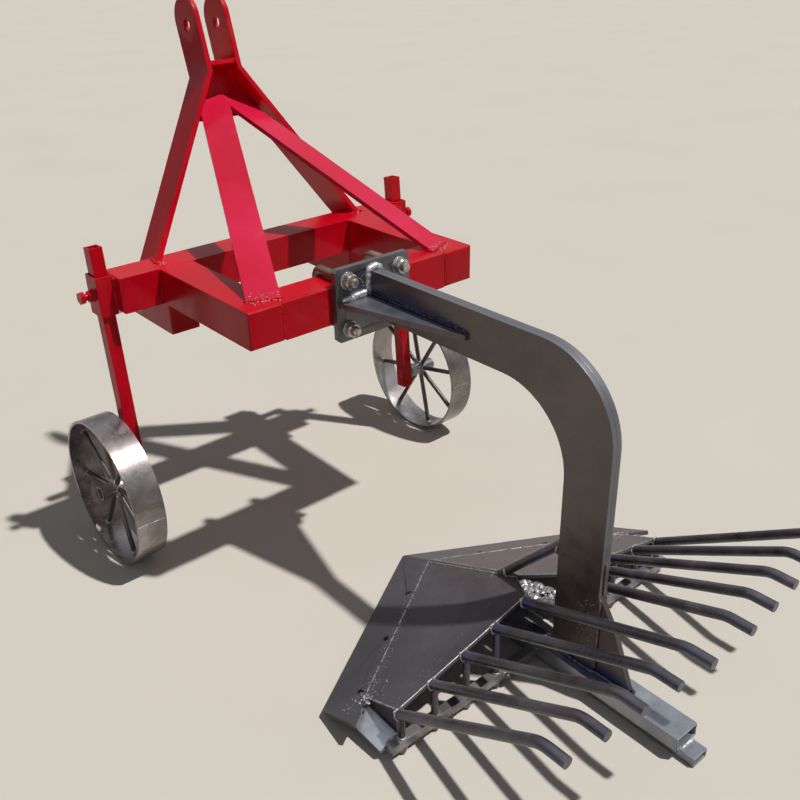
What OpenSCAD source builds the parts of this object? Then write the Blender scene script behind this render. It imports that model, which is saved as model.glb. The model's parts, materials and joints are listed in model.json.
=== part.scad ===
// Mounted potato digger: box-tube frame, bent A-mast, shank, V share and comb of tines.
// +X right, +Y direction of travel, +Z up. Ground is z = 0.
// Working lengths along Y are counted from the rear face of the front beam.

/* [Frame] */
// Side of the square box tube of the frame
beam = 80; // [60:1:100]
// Length of the front beam
front_len = 784; // [700:1:1000]
// Width over the two side tubes
frame_w = 595; // [500:1:650]
// Clear gap between front beam and rear beam
frame_gap = 274; // [200:1:400]
// Height of the beams' top face over the ground
beam_top = 672; // [600:1:760]

/* [Three-point hitch] */
// Thickness of the two mast plates
mast_t = 12; // [8:1:20]
// Clear gap between the mast ears
ear_gap = 64; // [50:1:80]
// Width of a mast plate seen from the side
mast_w = 97; // [80:1:120]
// Height of the top-link hole over the beams
mast_h = 458; // [420:1:520]
// Diameter of the top-link hole
toplink_d = 26; // [19:0.5:32]
// Height of the mast's bend over the beams
bend_h = 354; // [300:1:370]
// Half spread of the mast's legs at the beam's top, to the plates' middle
mast_foot_x = 270; // [220:1:290]
// Middle of the mast at the bend
mast_bend_y = 190; // [175:1:205]
// Forward lean of the mast
mast_lean = 16; // [14:1:18]
// Reach of the legs down the front of the beam
mast_lap = 50; // [30:1:70]
// Distance from the top-link hole to the middle of the ear's round end
ear_past = 13; // [0:1:20]
// Thickness of the plates between the mast plates
mast_tie_t = 10; // [6:1:14]
// Height of the level plate over the mast's bend
cross_up = 11; // [6:1:30]
// Depth of the upright plate below the mast's bend
web_drop = 100; // [80:1:120]
// Setting of the upright plate forward of the mast's middle
web_off = 13; // [0:1:20]
// Width of a brace
brace_w = 70; // [50:1:90]
// Thickness of a brace
brace_t = 10; // [6:1:14]
// Distance of a brace's foot from the centre plane
brace_foot_x = 236; // [180:1:260]
// Setback of the brace's foot from the rear beam's front edge
brace_foot_back = 42; // [30:1:60]
// Angle of a brace to the direction of travel
brace_yaw = 23.5; // [18:0.5:26]
// Slope of a brace
brace_rise = 29.3; // [26:0.1:32]
// Width of a hitch arm
arm_w = 70; // [50:1:80]
// Height of a hitch arm
arm_h = 80; // [60:1:100]
// Length of a hitch arm
arm_len = 215; // [180:1:260]
// Distance between the arms' outer faces
arm_span = 576; // [500:1:700]
// Forward distance of the lower-link pins
pin_y = 150; // [110:1:180]
// Diameter of the lower-link pins
pin_d = 28; // [22:1:36]
// Free length of a lower-link pin
pin_len = 80; // [60:1:110]
// Diameter of the linchpin hole
linch_d = 12; // [8:1:13]

/* [Gauge wheels] */
// Diameter of a wheel
wheel_d = 350; // [300:1:400]
// Width of the wheel's steel band
wheel_w = 70; // [50:1:90]
// Thickness of the band
band_t = 6; // [4:0.5:10]
// Number of spokes
spokes = 8; // [6:1:12]
// Diameter of a spoke
spoke_d = 12; // [8:1:16]
// Diameter of the hub
hub_d = 34; // [30:1:50]
// Wall of the hub around its open outer end
hub_wall = 3; // [2:0.5:4]
// Depth of the hub's open outer end
hub_open = 12; // [8:1:16]
// Turn of the spokes about the axle
spoke_turn = 33; // [0:1:44]
// Diameter of the axle
axle_d = 20; // [16:1:25]
// Radial running clearance of the hub on its axle
run_fit = 0.05; // [0.02:0.01:0.1]
// Side of the square post tube
post = 30; // [25:1:35]
// Wall of the post tube
post_wall = 4; // [3:0.5:5]
// Rearward rake of the posts
post_rake = 3.5; // [0:0.5:6]
// Height of the post's top over the beams
post_up = 62; // [30:1:120]
// Length of the post below the axle
post_below = 36; // [24:1:60]
// Width of the socket tube across the beam end
socket_x = 40; // [40:1:50]
// Length of the socket tube along the direction of travel
socket_y = 52; // [46:1:70]
// Wall of the socket tube
socket_wall = 4; // [3:0.5:5]
// Height of the socket tube
socket_h = 90; // [70:1:110]
// Diameter of the lock bolt
lock_d = 16; // [12:1:20]

/* [Shank] */
// Thickness of each of the two shank plates
shank_t = 12; // [8:1:16]
// Depth of the shank
shank_w = 100; // [80:1:120]
// Height of the shank's top edge over the beams
shank_rise = 22; // [10:1:30]
// Rearward reach of the shank's rear edge
shank_reach = 1008; // [900:1:1100]
// Outer radius of the shank's bend
shank_ro = 168; // [140:1:220]
// Inner radius of the shank's bend
shank_ri = 156; // [100:1:180]
// Width of the flange plate
flange_w = 196; // [180:1:240]
// Height of the flange plate
flange_h = 160; // [150:1:200]
// Thickness of the flange plate
flange_t = 14; // [10:1:20]
// Cut on the flange plate's corners
flange_cut = 7; // [3:1:12]
// Diameter of the U-bolts
ubolt_d = 20; // [16:1:24]
// Distance of each U-bolt from the centre plane
ubolt_x = 68; // [55:1:75]
// Gap between the U-bolts and the beam
ubolt_gap = 3; // [3:0.5:6]
// Reach of the flange gussets
gusset_len = 292; // [200:1:360]
// Half width of the flange gussets
gusset_x = 92; // [70:1:96]
// Thickness of the flange gussets
gusset_t = 12; // [8:1:16]

/* [Share] */
// Half width of the share
share_x = 437; // [350:1:500]
// Setback of the share's point
share_y = 440; // [400:1:520]
// Sweep of the cutting edges
sweep = 32.3; // [28:0.1:38]
// Slope of the share's ridge
ridge_rise = 23.15; // [20:0.05:26]
// Sideways droop of each wing
wing_droop = 13; // [10:0.5:16]
// Length of the blades along the direction of travel
blade_run = 94; // [80:1:110]
// Thickness of the blades
blade_t = 10; // [8:1:14]
// Thickness of the deck plates
deck_t = 8; // [6:1:12]
// Half width of the deck
deck_x = 377; // [320:1:420]
// Setback of the deck's rear edge
deck_y = 866; // [840:1:890]
// Setback of the deck's rear edge in the centre plane
notch_y = 795; // [770:1:820]
// Half width of the notch in front of the shank
notch_x = 48; // [40:1:60]
// Diameter of the blade bolt holes
blade_hole = 12; // [8:1:14]
// Sideways distance between the blade bolt holes
blade_pitch = 130; // [100:1:140]
// Diameter of the tines
tine_d = 20; // [14:1:24]
// Number of tines on each side
tines = 5; // [3:1:7]
// Distance between the tines
tine_pitch = 80; // [70:0.5:90]
// Distance of the inner tines from the centre plane
tine_x = 57; // [50:1:62]
// Setback of the inner tines' bends
tine_bend_y = 1218; // [1150:1:1300]
// How much less each tine reaches than the one inside it
tine_step = 7; // [0:1:10]
// Height of the strut's upper end on the shank
strut_z = 282; // [250:1:300]
// Height of the tines' ends
tine_z = 283; // [250:1:320]
// Length of a tine's level end
tine_tip = 50; // [30:1:80]
// Bend radius of the tines
tine_r = 60; // [40:1:90]
// Diameter of the stays under the tines
stay_d = 14; // [10:1:18]

/* [Foot] */
// Width of the foot tube
foot_w = 60; // [50:1:80]
// Height of the foot tube
foot_h = 30; // [25:1:40]
// Wall of the foot and skid tubes
foot_wall = 4; // [3:0.5:5]
// Setback of the foot tube's rear end
foot_y = 1214; // [1150:1:1300]
// Setback of the foot tube's front end
foot_front = 620; // [600:1:680]
// Width of the skid tube
skid_w = 40; // [30:1:50]
// Height of the skid tube
skid_h = 20; // [15:1:30]
// How far the skid tube runs past the foot tube's rear end
skid_past = 31; // [10:1:60]
// Side of the square rail behind the share
rail = 20; // [14:1:26]
// Height of the rail over the ground
rail_z = 16; // [8:1:24]
// Width of the plates between the blades' ends and the rails
end_w = 45; // [35:1:50]
// Thickness of those plates
end_t = 10; // [6:1:12]
// How far the rails run past the deck
rail_past = 30; // [20:1:40]
// Height of the gusset behind the shank
heel_h = 175; // [120:1:220]
// Reach of the gusset behind the shank
heel_run = 84; // [60:1:110]

/* [Hidden] */
$fn = 64;
eps = 0.15;
big = 2000;
seat = 0.3;

red = [0.86, 0.09, 0.16];
steel = [0.40, 0.37, 0.37];
bright = [0.62, 0.64, 0.66];
zinc = [0.72, 0.72, 0.70];

// frame
beam_low = beam_top - beam;
side_x = frame_w / 2 - beam;
rear_front = -frame_gap;
rear_back = -frame_gap - beam;

// mast
ear_x = ear_gap / 2 + mast_t / 2;
bend_z = beam_top + bend_h;
hole_up = (mast_h - bend_h) / cos(mast_lean);
splay = atan((mast_foot_x - ear_x) * cos(mast_lean) / bend_h);
ear_tip_y = mast_bend_y + sin(mast_lean) * (hole_up + ear_past) + mast_w / 2;

// wheels
socket_c = beam - socket_y / 2;
post_x = front_len / 2 + socket_x / 2;
pivot_z = beam_top - beam / 2;
wheel_r = wheel_d / 2;
axle_off = (pivot_z - wheel_r) * tan(post_rake);
axle_y = socket_c - axle_off;
spacer = 5;
hub_in = post_x + post / 2 + spacer + seat;
hub_len = wheel_w + 10;
wheel_x = hub_in + hub_len / 2;
lock_z = beam_top - beam / 2;
lock_nut = lock_d * 0.8;

// shank
shank_top = beam_top + shank_rise;
flange_back = rear_back - flange_t;
flange_z = beam_top - beam / 2;
ubolt_off = ubolt_d / 2 + ubolt_gap;
ubolt_bend = ubolt_d;
ubolt_hole = ubolt_d + 1;
gusset_z = flange_z + 4;
nut_h = ubolt_d * 0.8;
nut_r = ubolt_d * 0.866;
washer_r = ubolt_d * 0.92;
washer_t = 3;

// share planes: z = ridge_z0 - x tan(droop) - y tan(rise)
ridge_z0 = -share_y * tan(ridge_rise);
wa = -atan(tan(ridge_rise) * cos(wing_droop));
wb = wing_droop;
foot_top = skid_h + foot_h;
front_edge = shank_w - shank_reach;

function wing_z(x, y) = ridge_z0 - x * tan(wing_droop) - y * tan(ridge_rise);
function wing_uv(x, y) = [(x - y * tan(wa) * sin(wb)) / cos(wb), y / cos(wa)];

y_front = max(ear_tip_y, arm_len);
y_rear = -max(tine_bend_y + tine_tip, foot_y + skid_past);
datum_y = -(y_front + y_rear) / 2;

module placed() {
  translate([0, datum_y, 0]) children();
}

module right_or_left(s) {
  if (s > 0) children();
  else mirror([1, 0, 0]) children();
}

// A profile drawn in (y, z) and extruded along X from x0
module side_plate(x0, t) {
  translate([x0, 0, 0]) rotate([90, 0, 90]) linear_extrude(t) children();
}

// A profile drawn in (x, z) and extruded along Y from y0
module front_plate(y0, t) {
  translate([0, y0 + t, 0]) rotate([90, 0, 0]) linear_extrude(t) children();
}

module hex(d, h) {
  cylinder(r = d / sqrt(3), h = h, $fn = 6);
}

module front_beam() {
  color(red) placed() translate([-front_len / 2, 0, beam_low]) cube([front_len, beam, beam]);
}

module rear_beam() {
  color(red) placed() translate([-side_x, rear_back, beam_low]) cube([2 * side_x, beam, beam]);
}

module side_tube(s) {
  color(red) placed() right_or_left(s)
    translate([side_x, rear_back, beam_low]) cube([beam, frame_gap + beam, beam]);
}

module hitch_arm(s) {
  color(red) placed() right_or_left(s)
    translate([arm_span / 2 - arm_w, 0, beam_low - arm_h]) cube([arm_w, arm_len, arm_h]);
}

module lower_pin(s) {
  color(zinc) placed() right_or_left(s)
    translate([arm_span / 2, pin_y, beam_low - arm_h / 2]) difference() {
      rotate([0, 90, 0]) union() {
        cylinder(d = pin_d, h = pin_len);
        cylinder(d = pin_d * 1.6, h = 6);
      }
      translate([pin_len - 14, 0, 0]) cylinder(d = linch_d, h = pin_d + 4, center = true);
    }
}

// The mast's own frame: origin in the middle of the bend, Z up along the leaning ears
module at_bend() {
  translate([0, mast_bend_y, bend_z]) rotate([-mast_lean, 0, 0]) children();
}

// One flat bar seen from behind, bent outwards below the ears
module mast_front() {
  t = mast_t / 2;
  k = t * tan(splay / 2);
  low = 2 * bend_h;
  x = ear_x + low * tan(splay);
  polygon([[ear_x - t, low], [ear_x + t, low], [ear_x + t, k],
    [x + t / cos(splay), -low], [x - t / cos(splay), -low], [ear_x - t, -k]]);
}

// The legs stand on the beam and lap over its front face
module mast_plate(s) {
  color(red) placed() right_or_left(s) difference() {
    at_bend() intersection() {
      front_plate(-mast_w / 2, mast_w) mast_front();
      side_plate(0, big) {
        translate([-mast_w / 2, -big]) square([mast_w, big + hole_up + ear_past]);
        translate([0, hole_up + ear_past]) circle(d = mast_w);
      }
    }
    at_bend() translate([0, 0, hole_up]) rotate([0, 90, 0]) cylinder(d = toplink_d, h = 2 * ear_x);
    translate([0, beam - big, beam_top - big]) cube([big, big, big]);
    translate([0, -big, beam_top - mast_lap - big]) cube([big, 2 * big, big]);
  }
}

module mast_crossplate() {
  color(red) placed() at_bend() translate([-ear_gap / 2, -mast_w / 2 + 4, cross_up])
    cube([ear_gap, mast_w - 8, mast_tie_t]);
}

// Upright plate between the legs, under the crossplate
module mast_web() {
  in_x = ear_x - mast_t / 2 - eps;
  low_x = ear_x + web_drop * tan(splay) - mast_t / 2 / cos(splay) - eps;
  color(red) placed() at_bend() front_plate(web_off - mast_tie_t / 2, mast_tie_t)
    polygon([[-low_x, -web_drop], [low_x, -web_drop], [in_x, -4], [in_x, cross_up], [-in_x, cross_up], [-in_x, -4]]);
}

module brace(s) {
  color(red) placed() right_or_left(s) difference() {
    translate([brace_foot_x, rear_front - brace_foot_back, beam_top])
      rotate([0, 0, brace_yaw]) rotate([brace_rise, 0, 0])
        translate([-brace_w / 2, -brace_w, -brace_t]) cube([brace_w, big / 2, brace_t]);
    translate([-big / 2, -big, beam_top - big]) cube([big, 2 * big, big]);
    translate([-big + eps, -big, 0]) cube([big, 2 * big, big]);
    at_bend() translate([-big / 2, web_off - mast_tie_t / 2, -big]) cube([big, big, 2 * big]);
  }
}

module post_socket(s) {
  color(red) placed() right_or_left(s) {
    difference() {
      translate([front_len / 2, beam - socket_y, beam_top + 3 - socket_h])
        cube([socket_x, socket_y, socket_h]);
      translate([front_len / 2 + socket_wall, beam - socket_y + socket_wall, beam_top - socket_h])
        cube([socket_x - 2 * socket_wall, socket_y - 2 * socket_wall, 2 * socket_h]);
      translate([front_len / 2 + socket_x / 2, socket_c, lock_z])
        rotate([0, 90, 0]) cylinder(d = lock_d + 0.6, h = socket_x);
    }
    translate([front_len / 2 + socket_x, socket_c, lock_z]) rotate([0, 90, 0]) difference() {
      hex(lock_d * 1.5, lock_nut);
      translate([0, 0, -1]) cylinder(d = lock_d + 0.6, h = lock_nut + 2);
    }
  }
}

module lock_bolt(s) {
  tip = post_x + post / 2 + seat;
  head = front_len / 2 + socket_x + lock_nut + 8;
  color(red) placed() right_or_left(s) translate([tip, socket_c, lock_z])
    rotate([0, 90, 0]) union() {
      cylinder(d = lock_d, h = head - tip);
      translate([0, 0, head - tip]) hex(lock_d * 1.5, lock_d * 0.65);
    }
}

// Post tube, raked about the socket's middle
module gauge_post(s) {
  low = pivot_z - wheel_r + post_below;
  color(red) placed() right_or_left(s) translate([post_x, socket_c, pivot_z])
    rotate([-post_rake, 0, 0]) translate([0, 0, -low]) difference() {
      translate([-post / 2, -post / 2, 0]) cube([post, post, low + beam / 2 + post_up]);
      translate([-post / 2 + post_wall, -post / 2 + post_wall, -1])
        cube([post - 2 * post_wall, post - 2 * post_wall, big]);
      translate([0, 0, low - (pivot_z - wheel_r) / cos(post_rake)])
        rotate([0, 90, 0]) cylinder(d = axle_d + 2 * run_fit, h = 2 * post, center = true);
    }
}

module wheel_axle(s) {
  start = post_x - post / 2;
  stop = hub_in + hub_len - hub_open + seat;
  color(zinc) placed() right_or_left(s) translate([0, axle_y, wheel_r]) rotate([0, 90, 0]) union() {
    translate([0, 0, start]) cylinder(d = axle_d, h = stop - start + hub_open / 2);
    translate([0, 0, post_x + post / 2]) cylinder(d = hub_d - 4, h = spacer);
    translate([0, 0, stop]) cylinder(d = hub_d - 2 * hub_wall - 2, h = hub_open / 4);
  }
}

module gauge_wheel(s) {
  color(bright) placed() right_or_left(s) translate([wheel_x, axle_y, wheel_r])
    rotate([0, 90, 0]) difference() {
      union() {
        difference() {
          cylinder(d = wheel_d, h = wheel_w, center = true, $fn = 96);
          cylinder(d = wheel_d - 2 * band_t, h = wheel_w + 2, center = true, $fn = 96);
        }
        cylinder(d = hub_d, h = hub_len, center = true);
        for (i = [0:spokes - 1]) rotate([0, 0, spoke_turn + i * 360 / spokes])
          rotate([0, 90, 0]) cylinder(d = spoke_d, h = wheel_r - band_t / 2, $fn = 24);
      }
      cylinder(d = axle_d + 2 * run_fit, h = hub_len + 2, center = true);
      translate([0, 0, hub_len / 2 - hub_open]) cylinder(d = hub_d - 2 * hub_wall, h = hub_open + 1);
    }
}

// Rectangle of half sizes a and b with its corners cut by c
module cut_square(a, b, c) {
  polygon([[c - a, -b], [a - c, -b], [a, c - b], [a, b - c],
    [a - c, b], [c - a, b], [-a, b - c], [-a, c - b]]);
}

module shank_flange() {
  color(steel) placed() difference() {
    front_plate(flange_back, flange_t) difference() {
      translate([0, flange_z]) cut_square(flange_w / 2, flange_h / 2, flange_cut);
      for (x = [-ubolt_x, ubolt_x], z = [beam_top + ubolt_off, beam_low - ubolt_off])
        translate([x, z]) circle(d = ubolt_hole);
    }
  }
}

// One U-bolt round the rear beam, legs through the flange
module ubolt() {
  z1 = beam_top + ubolt_off;
  z2 = beam_low - ubolt_off;
  yf = rear_front + ubolt_off;
  yb = flange_back - washer_t - nut_h - 8;
  r = ubolt_bend;
  for (z = [z1, z2]) translate([0, yb, z]) rotate([-90, 0, 0])
    cylinder(d = ubolt_d, h = yf - r - yb);
  translate([0, yf, z2 + r]) cylinder(d = ubolt_d, h = z1 - z2 - 2 * r);
  translate([0, yf - r, z1 - r]) rotate([90, 0, 90])
    rotate_extrude(angle = 90) translate([r, 0]) circle(d = ubolt_d);
  translate([0, yf - r, z2 + r]) rotate([90, 0, 90]) rotate([0, 0, -90])
    rotate_extrude(angle = 90) translate([r, 0]) circle(d = ubolt_d);
}

module ubolts() {
  color(zinc) placed() for (x = [-ubolt_x, ubolt_x]) translate([x, 0, 0]) ubolt();
}

module ubolt_nuts() {
  color(zinc) placed() for (x = [-ubolt_x, ubolt_x], z = [beam_top + ubolt_off, beam_low - ubolt_off])
    translate([x, flange_back, z]) rotate([90, 0, 0]) difference() {
      union() {
        cylinder(r = washer_r, h = washer_t);
        translate([0, 0, washer_t]) hex(2 * nut_r * 0.866, nut_h);
      }
      translate([0, 0, -1]) cylinder(d = ubolt_d + 0.5, h = nut_h + washer_t + 2);
    }
}

// Side view of the shank: level bar, large bend and upright leg
module shank_side() {
  cy_o = shank_ro - shank_reach;
  cz_o = shank_top - shank_ro;
  cy_i = front_edge + shank_ri;
  cz_i = shank_top - shank_w - shank_ri;
  translate([cy_i, shank_top - shank_w]) square([flange_back - cy_i, shank_w]);
  translate([-shank_reach, foot_top]) square([shank_w, cz_i - foot_top]);
  difference() {
    translate([-shank_reach, cz_i]) square([shank_reach + cy_i, shank_top - cz_i]);
    translate([cy_i, cz_i]) circle(r = shank_ri);
    difference() {
      translate([-shank_reach - 1, cz_o]) square([shank_ro + 1, shank_ro + 1]);
      translate([cy_o, cz_o]) circle(r = shank_ro);
    }
  }
}

module shank_plate(s) {
  color(steel) placed() right_or_left(s) side_plate(0, shank_t) shank_side();
}

module flange_gussets() {
  color(steel) placed() for (s = [-1, 1]) right_or_left(s)
    translate([0, 0, gusset_z - gusset_t / 2]) linear_extrude(gusset_t)
      polygon([[shank_t, flange_back], [gusset_x, flange_back],
        [shank_t + 8, flange_back - gusset_len], [shank_t, flange_back - gusset_len]]);
}

module foot_gusset() {
  color(steel) placed() side_plate(-shank_t / 2, shank_t)
    polygon([[-shank_reach, foot_top], [-shank_reach, foot_top + heel_h],
      [-shank_reach - 0.48 * heel_run, foot_top + 0.63 * heel_h], [-shank_reach - heel_run, foot_top]]);
}

module open_tube(w, h, y0, y1, z0) {
  difference() {
    translate([-w / 2, y0, z0]) cube([w, y1 - y0, h]);
    translate([-w / 2 + foot_wall, y0 - 1, z0 + foot_wall])
      cube([w - 2 * foot_wall, y1 - y0 + 2, h - 2 * foot_wall]);
  }
}

module foot_tube() {
  color(bright) placed() open_tube(foot_w, foot_h, -foot_y, -foot_front, skid_h);
}

module skid_tube() {
  color(bright) placed() open_tube(skid_w, skid_h, -foot_y - skid_past, -foot_front, 0);
}

// Vertical thickness of a plate that lies in the wing's plane
function drop(t) = t * sqrt(1 + pow(tan(wing_droop), 2) + pow(tan(ridge_rise), 2));

// Front edge of the plate that ties the deck to the shank
tie_front = 6 - notch_y;

module ridge_rib() {
  y0 = -foot_front - 30;
  y1 = tie_front + seat;
  g = drop(deck_t) + seat;
  color(steel) placed() side_plate(-4, 8)
    polygon([[y0, foot_top], [y0, wing_z(4, y0) - g], [y1, wing_z(4, y1) - g], [y1, foot_top]]);
}

// Plate in the wing's plane from an outline in plan, cut at the centre plane
module wing_plate(t, pts) {
  intersection() {
    translate([0, 0, ridge_z0]) rotate([0, wb, 0]) rotate([wa, 0, 0])
      translate([0, 0, -t]) linear_extrude(t) polygon([for (p = pts) wing_uv(p[0], p[1])]);
    translate([eps, -big, 0]) cube([big, 2 * big, big]);
  }
}

blade_back = share_y + blade_run;

function edge_y(y0, x) = -y0 - x * tan(sweep);

module blade(s) {
  over = 40;
  color(steel) placed() right_or_left(s) difference() {
    wing_plate(blade_t, [[-over, edge_y(share_y, -over)], [share_x, edge_y(share_y, share_x)],
      [share_x, edge_y(blade_back, share_x)], [-over, edge_y(blade_back, -over)]]);
    for (i = [0:2]) {
      x = 109 + i * blade_pitch;
      y = edge_y(blade_back - 17, x);
      translate([x, y, wing_z(x, y)]) rotate([0, wb, 0]) rotate([wa, 0, 0])
        cylinder(d = blade_hole, h = 6 * blade_t, center = true, $fn = 32);
    }
  }
}

module deck(s) {
  over = 40;
  color(steel) placed() right_or_left(s)
    wing_plate(deck_t, [[-over, edge_y(blade_back + eps, -over)], [deck_x, edge_y(blade_back + eps, deck_x)],
      [deck_x, -deck_y], [notch_x, -deck_y],
      [-over, -notch_y + over * (deck_y - notch_y) / notch_x]]);
}

// The deck's rear face leans back by its thickness
root_y = -deck_y - deck_t * deck_t / drop(deck_t) * tan(ridge_rise) - seat;

function tine_at(i) = tine_x + i * tine_pitch;

// Height of a tine's root and its slope
function root_z(x) = wing_z(x, -deck_y) - 0.45 * tine_d;
function bend_at(i) = tine_bend_y - i * tine_step;
function tine_a(i) = atan((tine_z - root_z(tine_at(i))) / (bend_at(i) + root_y));

// One tine: sloping rod, bend and level end; the bend is a hair thinner so that the three join cleanly
module tine(i) {
  x = tine_at(i);
  a = tine_a(i);
  cut = tine_r * tan(a / 2);
  len = (bend_at(i) + root_y) / cos(a) - cut;
  difference() {
    translate([x, -bend_at(i) - cut, tine_z - tine_r]) rotate([90, 0, 90]) rotate([0, 0, 90 - a]) {
      rotate_extrude(angle = a) translate([tine_r, 0]) circle(d = tine_d - 0.2);
      translate([tine_r, 1, 0]) rotate([90, 0, 0]) cylinder(d = tine_d, h = len + 1 + tine_d);
      rotate([0, 0, a]) translate([tine_r, -1, 0]) rotate([-90, 0, 0])
        cylinder(d = tine_d, h = tine_tip - cut + 1);
    }
    translate([x - tine_d, root_y, 0]) cube([2 * tine_d, big, big]);
  }
}

module tine_comb(s) {
  color(steel) placed() right_or_left(s) for (i = [0:tines - 1]) tine(i);
}

// Upright bars from the rail to the undersides of all tines but the inner one
module tine_stays(s) {
  y = -deck_y - rail / 2;
  color(steel) placed() right_or_left(s) for (i = [1:tines - 1]) difference() {
    translate([tine_at(i), y, rail_z + rail]) cylinder(d = stay_d, h = big / 4);
    a = tine_a(i);
    z = root_z(tine_at(i)) - (tine_d / 2 + seat) / cos(a) + (root_y - y) * tan(a);
    side_plate(tine_at(i) - stay_d, 2 * stay_d) polygon([[y + stay_d, z - stay_d * tan(a)],
      [y + stay_d, big / 2], [y - stay_d, big / 2], [y - stay_d, z + stay_d * tan(a)]]);
  }
}

module rear_rail(s) {
  x0 = foot_w / 2 + eps;
  color(steel) placed() right_or_left(s)
    translate([x0, -deck_y - rail, rail_z]) cube([deck_x + rail_past - x0, rail, rail]);
}

// Flat bars that hang under the blades' ends and run back to the rails
module end_plates() {
  x = deck_x + 1;
  y0 = edge_y(blade_back, x) + 3;
  z0 = wing_z(x, y0) - drop(blade_t) - seat;
  run = deck_y + y0;
  color(bright) placed() for (s = [-1, 1]) right_or_left(s) difference() {
    translate([x, y0, z0]) rotate([0, wing_droop, 0]) rotate([atan((z0 - rail_z - rail + 2) / run), 0, 0])
      translate([0, -2 * run, -end_t]) cube([end_w, 2 * run, end_t]);
    translate([0, -big - deck_y + eps, -big / 2]) cube([big, big, big]);
  }
}

module cheek_plates() {
  x = deck_x - 3;
  y0 = edge_y(blade_back, x) - blade_t;
  g = drop(deck_t) + seat;
  color(steel) placed() for (s = [-1, 1]) right_or_left(s)
    side_plate(x - 6, 6) polygon([[y0, wing_z(x, y0) - g], [-deck_y + eps, wing_z(x, -deck_y) - g],
      [-deck_y + eps, rail_z], [-deck_y + rail, rail_z]]);
}

// Round strut from the ridge up to the front edge of the shank
module ridge_strut() {
  y0 = -notch_y + 20;
  z0 = wing_z(0, y0);
  y1 = front_edge;
  a = atan((strut_z - z0) / (y0 - y1));
  r = tine_d / 2;
  color(steel) placed() difference() {
    translate([0, y0, z0 + r]) rotate([90 - a, 0, 0]) translate([0, 0, -3 * r])
      cylinder(d = tine_d, h = strut_z);
    translate([-50, y1 - big + seat, 0]) cube([100, big, big]);
    side_plate(-50, 100) polygon([[-big / 2, wing_z(0, -big / 2) + seat], [0, wing_z(0, 0) + seat],
      [0, wing_z(0, 0) - big], [-big / 2, -big]]);
  }
}

module deck_tie() {
  z0 = wing_z(30, tie_front) - drop(deck_t) - seat;
  color(steel) placed() translate([-30, front_edge + seat, z0 - 10])
    cube([60, tie_front - front_edge - seat, 10]);
}

front_beam();
rear_beam();
side_tube(-1);  // side_tube_left
side_tube(1);  // side_tube_right
hitch_arm(-1);  // hitch_arm_left
hitch_arm(1);  // hitch_arm_right
lower_pin(-1);  // lower_pin_left
lower_pin(1);  // lower_pin_right
mast_plate(-1);  // mast_plate_left
mast_plate(1);  // mast_plate_right
mast_crossplate();
mast_web();
brace(-1);  // brace_left
brace(1);  // brace_right
post_socket(-1);  // post_socket_left
post_socket(1);  // post_socket_right
lock_bolt(-1);  // lock_bolt_left
lock_bolt(1);  // lock_bolt_right
gauge_post(-1);  // gauge_post_left
gauge_post(1);  // gauge_post_right
wheel_axle(-1);  // wheel_axle_left
wheel_axle(1);  // wheel_axle_right
gauge_wheel(-1);  // gauge_wheel_left
gauge_wheel(1);  // gauge_wheel_right
shank_flange();
ubolts();
ubolt_nuts();
shank_plate(-1);  // shank_plate_left
shank_plate(1);  // shank_plate_right
flange_gussets();
foot_gusset();
foot_tube();
skid_tube();
ridge_rib();
ridge_strut();
deck_tie();
blade(-1);  // blade_left
blade(1);  // blade_right
deck(-1);  // deck_left
deck(1);  // deck_right
tine_comb(-1);  // tines_left
tine_comb(1);  // tines_right
tine_stays(-1);  // tine_stays_left
tine_stays(1);  // tine_stays_right
rear_rail(-1);  // rear_rail_left
rear_rail(1);  // rear_rail_right
end_plates();
cheek_plates();
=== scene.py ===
"""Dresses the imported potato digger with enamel, mill steel, weld beads and small fasteners.

Shapes are written in millimetres, as in the part's source: x from the centre plane, y from the
front beam's rear face, negative to the rear, and z from the ground.
"""
import json
import math
from random import Random

import bpy
from mathutils import Matrix, Vector

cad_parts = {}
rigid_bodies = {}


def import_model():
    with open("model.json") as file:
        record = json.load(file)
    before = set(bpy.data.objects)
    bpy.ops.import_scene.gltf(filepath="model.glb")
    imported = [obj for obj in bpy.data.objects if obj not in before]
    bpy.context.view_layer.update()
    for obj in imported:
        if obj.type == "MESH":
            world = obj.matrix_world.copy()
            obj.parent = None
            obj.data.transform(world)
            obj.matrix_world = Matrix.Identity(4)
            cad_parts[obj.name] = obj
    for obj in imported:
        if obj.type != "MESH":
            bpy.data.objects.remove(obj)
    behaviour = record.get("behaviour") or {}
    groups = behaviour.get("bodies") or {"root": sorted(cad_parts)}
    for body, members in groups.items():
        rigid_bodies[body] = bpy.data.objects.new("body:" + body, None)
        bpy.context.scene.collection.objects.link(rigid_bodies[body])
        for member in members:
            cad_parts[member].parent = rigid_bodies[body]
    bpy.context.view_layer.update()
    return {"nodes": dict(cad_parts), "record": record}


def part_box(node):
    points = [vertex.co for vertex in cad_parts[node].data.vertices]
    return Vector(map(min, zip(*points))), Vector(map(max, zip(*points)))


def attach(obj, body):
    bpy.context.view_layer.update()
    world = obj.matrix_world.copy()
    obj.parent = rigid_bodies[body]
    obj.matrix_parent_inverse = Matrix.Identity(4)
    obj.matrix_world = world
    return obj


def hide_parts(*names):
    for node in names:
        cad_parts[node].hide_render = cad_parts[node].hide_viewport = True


for old in list(bpy.data.objects):
    bpy.data.objects.remove(old)

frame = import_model()
nodes = frame["nodes"]
Y0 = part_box("front_beam")[0].y

# Sizes of the solids

SIDES = (-1, 1)

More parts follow.
